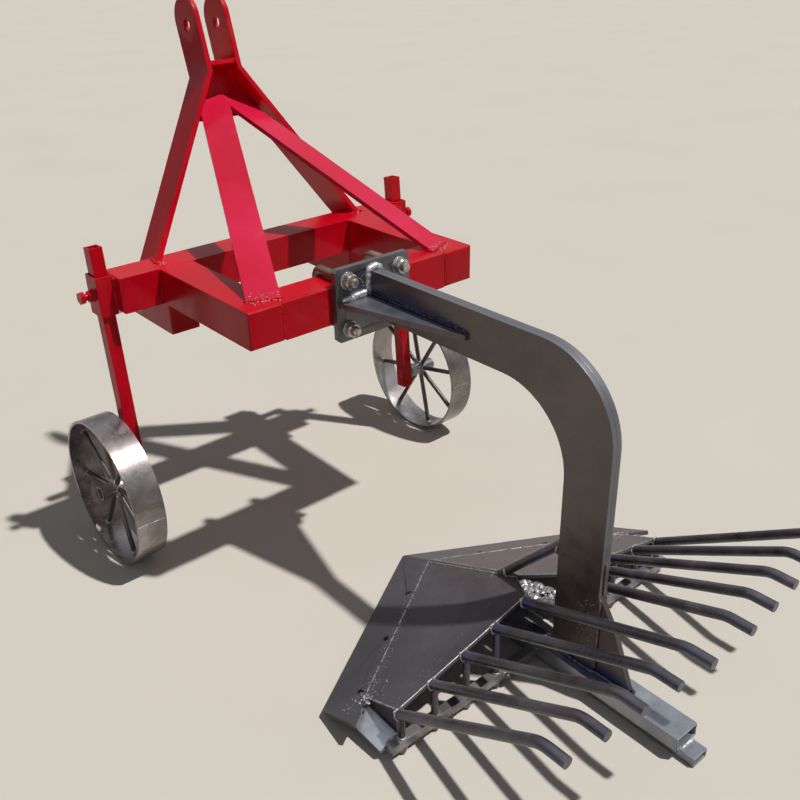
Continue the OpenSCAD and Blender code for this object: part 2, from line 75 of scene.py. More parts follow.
BEAM = 80
BEAM_TOP = 672
BEAM_LOW = BEAM_TOP - BEAM
BEAM_END = 392
REAR_FRONT = -274
REAR_BACK = REAR_FRONT - BEAM
SIDE_OUT = 297.5
SIDE_IN = SIDE_OUT - BEAM
ARM_IN, ARM_OUT = 218, 288
SOCKET_Y = BEAM - 26
BRACE_X, BRACE_Y, BRACE_HALF = 236, REAR_FRONT - 42, 35
BRACE_TURN, BRACE_SLOPE = math.radians(23.5), math.radians(29.3)

# The mast's bars lean forward and bend outwards below the ears
LEAN = math.radians(16)
BEND_UP = 354
BEND_Y, BEND_Z = 190, BEAM_TOP + BEND_UP
EAR_X, MAST_FOOT_X = 38, 270
SPLAY = (MAST_FOOT_X - EAR_X) * math.cos(LEAN) / BEND_UP

WHEEL_R, SPOKES, SPOKE_TURN = 175, 8, 33

# The clamp behind the rear beam, the shank and its foot
FLANGE_BACK = REAR_BACK - 14
NUT_X, NUT_ZS = 68, (BEAM_TOP + 13, BEAM_LOW - 13)
GUSSET_TOP, GUSSET_END = 642, FLANGE_BACK - 292
SHANK_SIDE, SHANK_BACK = 12, -1008
SKID_TOP = 20
FOOT_TOP, FOOT_BACK = SKID_TOP + 30, -1214

# The share's wings fall to their sides and rise to the rear, and their edges sweep back
SHARE_Y, BLADE_RUN, DECK_X = 440, 94, 377
SIDE_FALL = math.tan(math.radians(13))
REAR_RISE = math.tan(math.radians(23.15))
SWEEP = math.tan(math.radians(32.3))
SEAM_Y = -(SHARE_Y + BLADE_RUN)
DECK_Y, NOTCH_X, NOTCH_Y = -866.0, 48, -795
HOLE_XS, HOLE_AHEAD = (109, 239, 369), 17

# The tines, from their roots at the decks' rear edge to their bends, and the rail under them
TINE_D, TINE_Z, ROOT_Y = 20, 283, -870.0
TINES = [57 + 80 * i for i in range(5)]
BENDS = [1218 - 7 * i for i in range(5)]
RAIL = 20
RAIL_TOP, RAIL_Y, RAIL_BACK = 16 + RAIL, DECK_Y - RAIL / 2, DECK_Y - RAIL


def point(x, y, z):
    """A point in millimetres as a vector in the frame's metres."""
    return Vector((x / 1000, Y0 + y / 1000, z / 1000))


def sided(s, *points):
    """Points whose x is counted outwards, on one side of the centre plane."""
    return [(s * x, y, z) for x, y, z in points]


def wing(x, y):
    """Height of the share's upper face."""
    return -SHARE_Y * REAR_RISE - abs(x) * SIDE_FALL - y * REAR_RISE


def seam_y(x):
    """Place of the seam between blade and deck."""
    return SEAM_Y - abs(x) * SWEEP


def root_z(x):
    """Height of a tine's root at the deck's rear edge."""
    return wing(x, DECK_Y) - 0.45 * TINE_D


def at_bend(x, y, z):
    """A point of the mast's leaning frame, whose origin is the middle of the bend."""
    return (x, BEND_Y + y * math.cos(LEAN) + z * math.sin(LEAN),
            BEND_Z - y * math.sin(LEAN) + z * math.cos(LEAN))


def leg_x(y, z):
    """Middle of a mast leg, off the centre plane."""
    return EAR_X - ((y - BEND_Y) * math.sin(LEAN) + (z - BEND_Z) * math.cos(LEAN)) * SPLAY


def srgb(r, g, b):
    """A colour written 0 to 255 as linear RGBA."""
    linear = [c / 255 / 12.92 if c <= 10 else ((c / 255 + 0.055) / 1.055) ** 2.4
              for c in (r, g, b)]
    return (*linear, 1.0)


# Camera, floor and light

VIEW_AZIMUTH, VIEW_ELEVATION, VIEW_ROLL = 39.952, 27.66, -1.393
VIEW_FROM = (-1.1279, Y0 - 1.7906, 1.3366)
LENS, SENSOR = 41.54, 36
FLOOR_HALF, FLOOR_CELLS, FLOOR_DIP = 30.0, 24, 0.0006
WORLD_LIGHT, KEY_LIGHT, FILL_LIGHT = 0.125, 2.65, 3


def make_camera():
    """The photograph's viewpoint."""
    az, el, roll = (math.radians(a) for a in (VIEW_AZIMUTH, VIEW_ELEVATION, VIEW_ROLL))
    look = Vector((math.sin(az) * math.cos(el), math.cos(az) * math.cos(el), -math.sin(el)))
    side = Vector((math.cos(az), -math.sin(az), 0))
    up = side.cross(look)
    right = side * math.cos(roll) + up * math.sin(roll)
    up = up * math.cos(roll) - side * math.sin(roll)
    data = bpy.data.cameras.new("camera")
    data.lens, data.sensor_width = LENS, SENSOR
    data.clip_start, data.clip_end = 0.05, 200
    cam = bpy.data.objects.new("camera", data)
    turn = Matrix((right, up, -look)).transposed().to_4x4()
    cam.matrix_world = Matrix.Translation(VIEW_FROM) @ turn
    bpy.context.collection.objects.link(cam)
    bpy.context.scene.camera = cam


def lamp(kind, name, energy, place, aim, colour, **props):
    data = bpy.data.lights.new(name, kind)
    data.energy, data.color = energy, colour
    for k, v in props.items():
        setattr(data, k, v)
    obj = bpy.data.objects.new(name, data)
    obj.location = place
    obj.rotation_euler = (Vector(aim) - Vector(place)).to_track_quat("-Z", "Y").to_euler()
    bpy.context.collection.objects.link(obj)


def make_floor():
    """A pale floor just under the wheels, which throws less light back than its colour shows."""
    me = bpy.data.meshes.new("floor")
    n = FLOOR_CELLS
    marks = [-FLOOR_HALF + 2 * FLOOR_HALF * i / n for i in range(n + 1)]
    verts = [(x, y, -FLOOR_DIP) for y in marks for x in marks]
    corners = [j * (n + 1) + i for j in range(n) for i in range(n)]
    faces = [(a, a + 1, a + n + 2, a + n + 1) for a in corners]
    me.from_pydata(verts, [], faces)
    floor = bpy.data.objects.new("floor", me)
    bpy.context.collection.objects.link(floor)
    m = Mat("floor_pale")
    path = m.node("ShaderNodeLightPath").outputs
    seen = m.calc("MAXIMUM", path["Is Camera Ray"], path["Is Glossy Ray"])
    seen = m.calc("MAXIMUM", seen, path["Is Transmission Ray"])
    pale = m.mix(m.noise(1.4, detail=5), srgb(222, 216, 206), srgb(230, 225, 216))
    m.set("Base Color", m.mix(seen, srgb(128, 119, 109), pale))
    m.put("Roughness", 0.9)
    m.put("Specular IOR Level", 0.15)
    me.materials.append(m.mat)


def make_world():
    """Faint light from all round, a sky ramp for reflections and a pale backdrop for the camera."""
    world = bpy.data.worlds.new("studio")
    bpy.context.scene.world = world
    world.use_nodes = True
    nt = world.node_tree
    nt.nodes.clear()
    new, link = nt.nodes.new, nt.links.new
    out = new("ShaderNodeOutputWorld")
    path = new("ShaderNodeLightPath").outputs
    light, mirror, seen = (new("ShaderNodeBackground") for _ in range(3))
    light.inputs["Color"].default_value = (0.92, 0.96, 1.0, 1)
    light.inputs["Strength"].default_value = WORLD_LIGHT
    seen.inputs["Color"].default_value = srgb(232, 229, 223)
    coord, split = new("ShaderNodeTexCoord"), new("ShaderNodeSeparateXYZ")
    sky = new("ShaderNodeValToRGB")
    low, high = sky.color_ramp.elements
    low.color = srgb(72, 70, 72)
    high.position = 0.85
    high.color = srgb(240, 244, 252)
    sky.color_ramp.elements.new(0.3).color = srgb(166, 168, 172)
    link(coord.outputs["Generated"], split.inputs[0])
    link(split.outputs["Z"], sky.inputs[0])
    link(sky.outputs[0], mirror.inputs["Color"])
    either = new("ShaderNodeMath")
    either.operation = "MAXIMUM"
    link(path["Is Glossy Ray"], either.inputs[0])
    link(path["Is Transmission Ray"], either.inputs[1])
    first, second = new("ShaderNodeMixShader"), new("ShaderNodeMixShader")
    for mixer, ends in ((first, (either.outputs[0], light.outputs[0], mirror.outputs[0])),
                        (second, (path["Is Camera Ray"], first.outputs[0], seen.outputs[0]))):
        for i, end in enumerate(ends):
            link(end, mixer.inputs[i])
    link(second.outputs[0], out.inputs[0])


def make_stage():
    make_floor()
    make_world()
    lamp("SUN", "key", KEY_LIGHT, (3.0, -3.9, 10.0), (0, 0, 0), (1.0, 0.97, 0.93),
         angle=math.radians(1.6))
    lamp("AREA", "fill_left", FILL_LIGHT, (-3.2, -2.4, 2.6), (0, -0.2, 0.4), (0.95, 0.97, 1.0),
         shape="RECTANGLE", size=2.4, size_y=2.0)


# Materials

class Mat:
    """A material with helpers for its nodes. Coordinates are the frame's own metres."""

    def __init__(self, name):
        self.mat = bpy.data.materials.new(name)
        self.mat.use_nodes = True
        self.nt = self.mat.node_tree
        self.bsdf = self.nt.nodes["Principled BSDF"]
        source = self.nt.nodes.new("ShaderNodeTexCoord")
        self.coord, self.normal = source.outputs["Object"], source.outputs["Normal"]

    def put(self, socket, value):
        self.bsdf.inputs[socket].default_value = value

    def set(self, socket, out):
        self.nt.links.new(out, self.bsdf.inputs[socket])

    def fill(self, node, inputs):
        for k, v in dict(inputs).items():
            if isinstance(v, bpy.types.NodeSocket):
                self.nt.links.new(v, node.inputs[k])
            else:
                node.inputs[k].default_value = v

    def node(self, kind, inputs=(), **props):
        n = self.nt.nodes.new(kind)
        for k, v in props.items():
            setattr(n, k, v)
        self.fill(n, inputs)
        return n

    def stretched(self, scale):
        return self.node("ShaderNodeMapping", {"Vector": self.coord, "Scale": scale}).outputs[0]

    def noise(self, scale, detail=3.0, rough=0.55, vector=None, distort=0.0):
        ins = {"Vector": vector or self.coord, "Scale": scale, "Detail": detail,
               "Roughness": rough, "Distortion": distort}
        return self.node("ShaderNodeTexNoise", ins).outputs["Fac"]

    def fit(self, out, a, b, lo=0.0, hi=1.0):
        """Maps a to lo and b to hi, held there outside."""
        ins = {"Value": out, "From Min": a, "From Max": b, "To Min": lo, "To Max": hi}
        return self.node("ShaderNodeMapRange", ins).outputs[0]

    def calc(self, op, a, b=0.0):
        return self.node("ShaderNodeMath", {0: a, 1: b}, operation=op).outputs[0]

    def vector(self, op, a, b):
        return self.node("ShaderNodeVectorMath", {0: a, 1: b}, operation=op).outputs[0]

    def length(self, a):
        n = self.node("ShaderNodeVectorMath", {0: a}, operation="LENGTH")
        return n.outputs["Value"]

    def mix(self, fac, a, b):
        n = self.node("ShaderNodeMix", data_type="RGBA")
        self.fill(n, {0: fac, 6: a, 7: b})
        return n.outputs[2]

    def near(self, centre, reach):
        """1 at a point and 0 at an uneven distance from it."""
        place = self.vector("SUBTRACT", self.coord, centre)
        place = self.vector("MULTIPLY", place, [1 / r for r in reach])
        uneven = self.fit(self.noise(28, 4), 0.3, 0.7, -0.35, 0.35)
        return self.fit(self.calc("ADD", self.length(place), uneven), 1.0, 0.35)

    def bump(self, parts):
        """Stacks (height, distance in metres, strength) bumps."""
        normal = None
        for height, dist, strength in parts:
            ins = {"Height": height, "Distance": dist, "Strength": strength}
            if normal:
                ins["Normal"] = normal
            normal = self.node("ShaderNodeBump", ins).outputs[0]
        self.set("Normal", normal)


def enamel(name, deep, bright):
    """Gloss paint in two tones, with dust, chips and the brush's waves."""
    m = Mat(name)
    col = m.mix(m.fit(m.noise(5.5, 5), 0.35, 0.68), deep, bright)
    col = m.mix(m.fit(m.noise(60, 4), 0.62, 0.8, 0, 0.2), col, srgb(206, 44, 62))
    col = m.mix(m.fit(m.noise(14, 7, 0.7), 0.58, 0.8, 0, 0.14), col, srgb(190, 140, 124))
    chips = m.fit(m.noise(9, 9, 0.75, m.stretched((1, 5, 2))), 0.745, 0.765)
    m.set("Base Color", m.mix(chips, col, srgb(60, 34, 34)))
    m.set("Roughness", m.fit(m.noise(11, 5), 0.3, 0.7, 0.26, 0.42))
    m.put("Coat Weight", 0.12)
    m.put("Coat Roughness", 0.08)
    m.put("Specular IOR Level", 0.17)
    m.bump([(m.noise(170, 2), 0.0005, 0.14), (m.noise(22, 2), 0.002, 0.10),
            (m.calc("MULTIPLY", chips, -1.0), 0.0005, 0.4)])
    return m.mat


def steel(name, dark, mid, light, metallic=0.8, rough=(0.3, 0.46), coat=0.3, spec=0.5,
          zones=(), blotch=4.5, scratch=(1, 22, 22), pits=0.35, edge=None, rust=0.0,
          painted=None, hub=None):
    """Steel of three tones in blotches, with rolling scratches and pits.

    zones are (centre, reach, tint, amount) tinted patches: heat tints round welds, other uneven
    tones, and painted shade in the share's bolt holes. edge gives the faces that look away from x a
    lighter bluish tint, a painted highlight. painted is how far from the centre plane red paint
    reaches, and hub is the centre of a wheel whose spokes are darkened with painted shade.
    """
    m = Mat(name)
    big = m.noise(blotch, 6, 0.6, distort=0.6)
    col = m.mix(m.fit(big, 0.34, 0.52), dark, mid)
    col = m.mix(m.fit(big, 0.52, 0.72), col, light)
    speck = m.noise(95, 5, 0.65)
    col = m.mix(m.fit(speck, 0.55, 0.74, 0, 0.4), col, light)
    col = m.mix(m.fit(speck, 0.42, 0.28, 0, 0.45), col, dark)
    if rust:
        col = m.mix(m.fit(m.noise(17, 7, 0.7), 0.54, 0.74, 0, rust), col, srgb(128, 92, 74))
    # Painted highlight: faces that look away from x, the narrow edges, turn lighter and bluer.
    if edge:
        across = m.calc("ABSOLUTE", m.node("ShaderNodeSeparateXYZ", {0: m.normal}).outputs[0])
        col = m.mix(m.fit(across, 0.75, 0.35, 0, 0.85), col, edge)
    for centre, reach, tint, amount in zones:
        col = m.mix(m.calc("MULTIPLY", m.near(centre, reach), amount), col, tint)
    if painted:
        off = m.calc("ABSOLUTE", m.node("ShaderNodeSeparateXYZ", {0: m.coord}).outputs[0])
        col = m.mix(m.calc("LESS_THAN", off, painted), col, srgb(196, 4, 26))
    # Painted shade: the spokes inside the band turn darker than the band.
    if hub:
        arm = m.length(m.vector("MULTIPLY", m.vector("SUBTRACT", m.coord, hub), (0, 1, 1)))
        spoke_shade = m.calc("MULTIPLY", m.fit(arm, 0.020, 0.026), m.fit(arm, 0.166, 0.160))
        col = m.mix(m.calc("MULTIPLY", spoke_shade, 0.85), col, srgb(70, 62, 62))
    m.set("Base Color", col)
    m.put("Metallic", metallic)
    m.put("Specular IOR Level", spec)
    lines = m.noise(30, 4, 0.6, m.stretched(scratch))
    m.set("Roughness", m.calc("ADD", m.fit(big, 0.3, 0.7, *rough),
                              m.fit(lines, 0.3, 0.7, -0.05, 0.05)))
    m.put("Coat Weight", coat)
    m.put("Coat Roughness", 0.22)
    m.bump([(lines, 0.0004, 0.22), (m.noise(210, 3), 0.0004, 0.2),
            (m.fit(m.noise(46, 6, 0.7), 0.60, 0.72), -0.0005, pits)])
    return m.mat


def bead_metal(name, dark, light, metallic, rough):
    """Weld metal and drops in two tones."""
    m = Mat(name)
    m.set("Base Color", m.mix(m.fit(m.noise(130, 4), 0.32, 0.66), dark, light))
    m.put("Metallic", metallic)
    m.set("Roughness", m.fit(m.noise(260, 3), 0.3, 0.7, rough, rough + 0.18))
    m.bump([(m.noise(420, 3), 0.0005, 0.5)])
    return m.mat


# Small shapes

BEAD_SIDES, DROP_SIDES, NUT_SIDES = 7, 6, 48
NUT_CUT = 0.12


def turns(count):
    """Angles once round a circle."""
    return [2 * math.pi * k / count for k in range(count)]


def axes(centre, axis):
    """The centre, two directions across the axis and the axis itself, as vectors."""
    axis = Vector(axis).normalized()
    u = axis.orthogonal().normalized()
    return Vector(centre), u, axis.cross(u), axis


class Shape:
    """Collects beads, drops, nuts and turned forms into one mesh, in millimetres."""

    def __init__(self, name, body, mat, slot, seed):
        self.name, self.body, self.mat, self.slot = name, body, mat, slot
        self.v, self.f, self.flat = [], [], []
        self.r = Random(seed)

    def rings(self, loops, closed=False, flat=False):
        """Joins loops of as many points each, with a cap at both ends or closed in a ring."""
        base, n, count = len(self.v), len(loops[0]), len(loops)
        for loop in loops:
            self.v += loop
        faces = []
        for i in range(count if closed else count - 1):
            a, b = base + i * n, base + ((i + 1) % count) * n
            faces += [(a + k, a + (k + 1) % n, b + (k + 1) % n, b + k) for k in range(n)]
        if not closed:
            last = base + (count - 1) * n
            faces.append(tuple(range(base + n - 1, base - 1, -1)))
            faces.append(tuple(range(last, last + n)))
        self.f += faces
        self.flat += [flat] * len(faces)

    def tube(self, pts, radii, closed, press):
        """A tube along pts with a radius for each point; press below 1 flattens it."""
        n = len(pts)
        loops = []
        side = None
        for i, p in enumerate(pts):
            a = pts[(i - 1) % n] if closed or i else pts[0]
            b = pts[(i + 1) % n] if closed or i < n - 1 else pts[-1]
            t = (b - a).normalized()
            if side is None:
                side = t.cross(Vector((0, 0, 1)))
                if side.length < 0.1:
                    side = t.cross(Vector((1, 0, 0)))
            side = (side - t * side.dot(t)).normalized()
            up = t.cross(side) * press
            loops.append([p + (side * math.cos(turn) + up * math.sin(turn)) * radii[i]
                          for turn in turns(BEAD_SIDES)])
        self.rings(loops, closed=closed)

    def weld(self, pts, r, pitch=5.0, press=1.0, closed=False, sway=0.14):
        """A weld bead along pts, with the ripples of its passes and narrowed open ends."""
        pts = [Vector(p) for p in pts]
        if closed:
            pts = pts + [pts[0]]
        out, radii = [], []
        step = max(1.1, r * 0.42)
        jog = r * sway
        run = 0.0
        total = sum((b - a).length for a, b in zip(pts, pts[1:]))
        phase = self.r.uniform(0, 6)
        for a, b in zip(pts, pts[1:]):
            length = (b - a).length
            count = max(1, int(length / step))
            for i in range(count):
                at = run + length * i / count
                wave = abs(math.sin(math.pi * at / pitch + phase))
                size = r * (0.80 + 0.26 * wave + self.r.uniform(-0.07, 0.07))
                if not closed:
                    size *= min(1.0, 0.45 + min(at, total - at) / (2.2 * r))
                shift = Vector([self.r.uniform(-jog, jog) for _ in range(3)])
                out.append(a.lerp(b, i / count) + shift)
                radii.append(size)
            run += length
        if not closed:
            out.append(pts[-1])
            radii.append(r * 0.5)
        self.tube(out, radii, closed, press)

    def ring_weld(self, centre, axis, radius, r, count=None):
        """A closed bead round an axis."""
        centre, u, w, _ = axes(centre, axis)
        count = count or max(14, int(radius * 2.2))
        pts = [centre + (u * math.cos(a) + w * math.sin(a)) * radius for a in turns(count)]
        self.weld(pts, r, pitch=max(3.0, r * 1.5), closed=True)

    def lump(self, centre, r, tall=1.0, axis=(0, 0, 1), ragged=0.15, flat=False):
        """A small drop of metal."""
        centre, u, w, axis = axes(centre, axis)
        turn = self.r.uniform(0, 6)
        loops = []
        for height, share in ((-0.7, 0.7), (0.0, 1.0), (0.6, 0.78), (0.95, 0.3)):
            loop = []
            for i in range(DROP_SIDES):
                a = turn + 2 * math.pi * i / DROP_SIDES
                out = r * share * self.r.uniform(1 - ragged, 1 + ragged)
                loop.append(centre + (u * math.cos(a) + w * math.sin(a)) * out
                            + axis * (height * r * tall))
            loops.append(loop)
        self.rings(loops, flat=flat)

    def nut(self, centre, axis, across, high, bore=0.0, turn=0.0):
        """A hexagon with chamfered corners at both ends, drilled if bore is given."""
        centre, u, w, axis = axes(centre, axis)
        corner = across / math.sqrt(3)
        low = across / 2 * 0.97
        cut = across * NUT_CUT

        def loop(z, limit):
            out = []
            for a in turns(NUT_SIDES):
                off = (a + turn) % (math.pi / 3) - math.pi / 6
                reach = min(across / 2 / math.cos(off), limit)
                out.append(centre + (u * math.cos(a) + w * math.sin(a)) * reach + axis * z)
            return out

        half = (low + corner) / 2
        steps = [(0, low), (cut * 0.5, half), (cut, corner + 1),
                 (high - cut, corner + 1), (high - cut * 0.5, half), (high, low)]
        if bore:
            steps += [(high, bore / 2), (0, bore / 2)]
        self.rings([loop(z, limit) for z, limit in steps], closed=bool(bore), flat=True)

    def turned(self, centre, axis, profile, sides, closed=False):
        """A lathe shape from (distance along the axis, radius) pairs."""
        centre, u, w, axis = axes(centre, axis)
        self.rings([[centre + (u * math.cos(a) + w * math.sin(a)) * r + axis * z
                     for a in turns(sides)] for z, r in profile], closed=closed)

    def spatter(self, a, b, wide, count, size, height=None, axis=(0, 0, 1)):
        """Drops of metal thrown out on both sides of the line from a to b."""
        a, b = Vector(a), Vector(b)
        across = (b - a).cross(Vector(axis)).normalized()
        for _ in range(count):
            p = a.lerp(b, self.r.random()) + across * self.r.gauss(0, wide)
            if height:
                p.z = height(p.x, p.y)
            self.lump(p, self.r.uniform(*size), 0.8, axis)

    def done(self):
        """Makes the mesh in its finish, riding on its body."""
        me = bpy.data.meshes.new(self.name)
        me.from_pydata([point(*v) for v in self.v], [], self.f)
        me.validate()
        for poly, flat in zip(me.polygons, self.flat):
            poly.use_smooth = not flat
        me.update()
        me.materials.append(self.mat)
        obj = bpy.data.objects.new(self.name, me)
        bpy.context.collection.objects.link(obj)
        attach(obj, self.body)
        return obj


# Rounded edges on the solids

SHARP = math.radians(40)


def smooth_group():
    """Geometry nodes that shade faces smooth and leave edges above the sharp angle."""
    g = bpy.data.node_groups.new("smooth_by_angle", "GeometryNodeTree")
    for way in ("INPUT", "OUTPUT"):
        g.interface.new_socket("Geometry", in_out=way, socket_type="NodeSocketGeometry")
    start, end = g.nodes.new("NodeGroupInput"), g.nodes.new("NodeGroupOutput")
    faces, edges = (g.nodes.new("GeometryNodeSetShadeSmooth") for _ in range(2))
    faces.domain, edges.domain = "FACE", "EDGE"
    edges.inputs["Shade Smooth"].default_value = False
    angle = g.nodes.new("GeometryNodeInputMeshEdgeAngle")
    over = g.nodes.new("FunctionNodeCompare")
    over.inputs[1].default_value = SHARP
    g.links.new(start.outputs[0], faces.inputs["Geometry"])
    g.links.new(faces.outputs[0], edges.inputs["Geometry"])
    g.links.new(angle.outputs["Unsigned Angle"], over.inputs[0])
    g.links.new(over.outputs[0], edges.inputs["Selection"])
    g.links.new(edges.outputs[0], end.inputs[0])
    return g


def round_edges(names, width, segments, group):
    """Bevels the sharp edges of the named solids, width millimetres wide."""
    for name in names:
        mods = nodes[name].modifiers
        mods.new("join", "WELD").merge_threshold = 0.00001
        bevel = mods.new("edges", "BEVEL")
        bevel.width, bevel.segments = width / 1000, segments
        bevel.limit_method, bevel.angle_limit = "ANGLE", SHARP
        bevel.use_clamp_overlap = True
        mods.new("shade", "NODES").node_group = group
        mods.new("normals", "WEIGHTED_NORMAL").keep_sharp = True


def both(*names):
    """The names of the left and right nodes."""
    return [n + s for n in names for s in ("_left", "_right")]


def round_all():
    group = smooth_group()
    for names, width, segments in (
            (["front_beam", "rear_beam"] + both("side_tube", "hitch_arm"), 4.5, 3),
            (both("gauge_post", "post_socket"), 2.0, 2),
            (both("mast_plate", "brace", "lock_bolt") + ["mast_crossplate", "mast_web"], 1.2, 2),
            (both("shank_plate", "blade", "deck", "rear_rail")
             + ["shank_flange", "flange_gussets", "foot_gusset", "ridge_rib", "deck_tie",
                "end_plates", "cheek_plates"], 1.0, 2),
            (["foot_tube", "skid_tube"], 2.0, 2),
            (both("tines", "tine_stays") + ["ridge_strut"], 1.0, 2)):
        round_edges(names, width, segments, group)


# Finishes

make_camera()
make_stage()

RED = enamel("red_enamel", srgb(200, 0, 22), srgb(222, 5, 36))
# The braces get a pinker, lighter copy of the red enamel: a painted sheen on their lit faces.
BRACE_SHEEN_RED = enamel("brace_enamel_painted_sheen", srgb(210, 14, 54), srgb(230, 34, 80))

# Painted shade: a near-black tint inside the share's bolt holes, where the open holes show only
# shade.
hole_painted_shade = [(point(s * x, seam_y(x) + HOLE_AHEAD, wing(x, seam_y(x) + HOLE_AHEAD) - 4),
              (0.0095, 0.0095, 0.02), srgb(12, 11, 14), 1.0) for s in SIDES for x in HOLE_XS]
RAW = steel("mill_steel", srgb(80, 78, 84), srgb(92, 90, 96), srgb(108, 104, 110),
            metallic=0.1, rough=(0.36, 0.5), coat=0.03, spec=0.22, rust=0.12,
            zones=hole_painted_shade + [
                # a browner tone over the right wing
                (point(230, -700, 60), (0.35, 0.3, 0.2), srgb(114, 102, 98), 0.6),
                (point(0, -1010, 60), (0.06, 0.10, 0.03), srgb(80, 92, 150), 0.5),
                (point(0, -800, 150), (0.08, 0.07, 0.05), srgb(118, 106, 108), 0.3)])
# The shank's edge tint is a painted highlight on its narrow faces.
SHANK = steel("shank_steel", srgb(92, 84, 82), srgb(108, 98, 94), srgb(124, 112, 108),
              metallic=0.45, rough=(0.32, 0.46), coat=0.25, spec=0.35, blotch=2.6,
              scratch=(22, 1.5, 22), pits=0.2, edge=srgb(122, 124, 132),
              zones=[(point(0, -1010, 150), (0.08, 0.12, 0.24), srgb(72, 64, 62), 0.75),
                     (point(0, -1040, 56), (0.05, 0.10, 0.04), srgb(60, 64, 96), 0.6),
                     (point(0, -500, 655), (0.1, 0.14, 0.025), srgb(70, 70, 104), 0.7),
                     (point(0, -372, 640), (0.06, 0.03, 0.09), srgb(92, 92, 120), 0.5)])
FLANGE = steel("flange_steel", srgb(84, 83, 87), srgb(104, 103, 107), srgb(128, 127, 130),
               metallic=0.45, rough=(0.3, 0.44), blotch=7,
               zones=[(point(0, -370, 640), (0.05, 0.03, 0.06), srgb(80, 80, 110), 0.5)])
BAR = steel("bar_steel", srgb(60, 58, 64), srgb(82, 79, 85), srgb(116, 112, 118),
            metallic=0.5, rough=(0.26, 0.40), blotch=9, scratch=(40, 2, 40), rust=0.16,
            zones=[(point(0, -880, 170), (0.5, 0.03, 0.12), srgb(84, 92, 140), 0.6),
                   (point(0, -1240, 262), (0.5, 0.05, 0.09), srgb(90, 92, 118), 0.3)])
RAIL_STEEL = steel("rail_steel", srgb(122, 122, 126), srgb(152, 152, 156),
                   srgb(186, 186, 188), metallic=0.4, rough=(0.28, 0.4), blotch=12, rust=0.4)
TUBE = steel("bright_tube", srgb(126, 131, 140), srgb(152, 157, 166), srgb(182, 186, 194),
             metallic=0.5, rough=(0.26, 0.38), blotch=6,
             zones=[(point(0, -1000, 52), (0.034, 0.11, 0.02), srgb(70, 80, 118), 0.7)])
wheel_low, wheel_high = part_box("gauge_wheel_left")
# The wheel's darker spokes, set by hub, are painted shade.
WHEEL = steel("rim_steel", srgb(98, 92, 92), srgb(142, 136, 134), srgb(192, 187, 185),
              metallic=0.85, rough=(0.24, 0.38), coat=0.25, blotch=5, scratch=(30, 3, 3),
              pits=0.2, hub=(0, (wheel_low.y + wheel_high.y) / 2, WHEEL_R / 1000))
ZINC = steel("zinc_plate", srgb(160, 158, 152), srgb(190, 188, 182), srgb(214, 212, 206),
             metallic=0.7, rough=(0.24, 0.36), blotch=30, pits=0.1)
AXLE = steel("axle_steel", srgb(110, 106, 104), srgb(146, 142, 140), srgb(180, 178, 174),
             blotch=30, pits=0.1, painted=0.3985)
BOLT = steel("bolt_rod", srgb(120, 98, 74), srgb(150, 126, 100), srgb(176, 156, 130),
             rough=(0.3, 0.42), blotch=14, pits=0.2)
PEG = steel("stud_steel", srgb(74, 70, 72), srgb(104, 100, 102), srgb(140, 136, 136), blotch=30)

BEAD = bead_metal("weld_metal", srgb(120, 116, 118), srgb(196, 194, 196), 0.6, 0.28)
BRIGHT = bead_metal("weld_metal_bright", srgb(178, 178, 184), srgb(232, 232, 236), 0.45, 0.3)
DULL = bead_metal("weld_metal_dull", srgb(78, 70, 66), srgb(134, 124, 116), 0.5, 0.34)
DARK = bead_metal("weld_metal_dark", srgb(26, 26, 42), srgb(56, 60, 92), 0.5, 0.3)
BLUE = bead_metal("weld_metal_blued", srgb(40, 48, 78), srgb(92, 108, 142), 0.6, 0.28)
PALE = bead_metal("paint_drops", srgb(206, 70, 92), srgb(236, 176, 184), 0.0, 0.3)
# Bright metal for the decks' rear edges: a painted highlight along the edge.
DECK_EDGE_HIGHLIGHT = bead_metal("deck_edge_painted_highlight", srgb(150, 152, 158), srgb(206, 208, 212), 0.7, 0.24)

BY_SLOT = {"red_paint": RED, "raw_steel": RAW, "bright_steel": TUBE, "zinc": ZINC}
BY_NAME = (("gauge_wheel", WHEEL), ("brace", BRACE_SHEEN_RED), ("shank_flange", FLANGE), ("shank", SHANK),
           ("flange", SHANK), ("foot_gusset", SHANK), ("tine", BAR), ("ridge_strut", BAR),
           ("rear_rail", RAIL_STEEL), ("wheel_axle", AXLE), ("ubolts", BOLT))
for sub in frame["record"]["subparts"]:
    name = sub["node"]
    own = [mat for start, mat in BY_NAME if name.startswith(start)]
    for s in nodes[name].material_slots:
        s.material = own[0] if own else BY_SLOT[sub["material_slot"]]

round_all()


# The share's welds

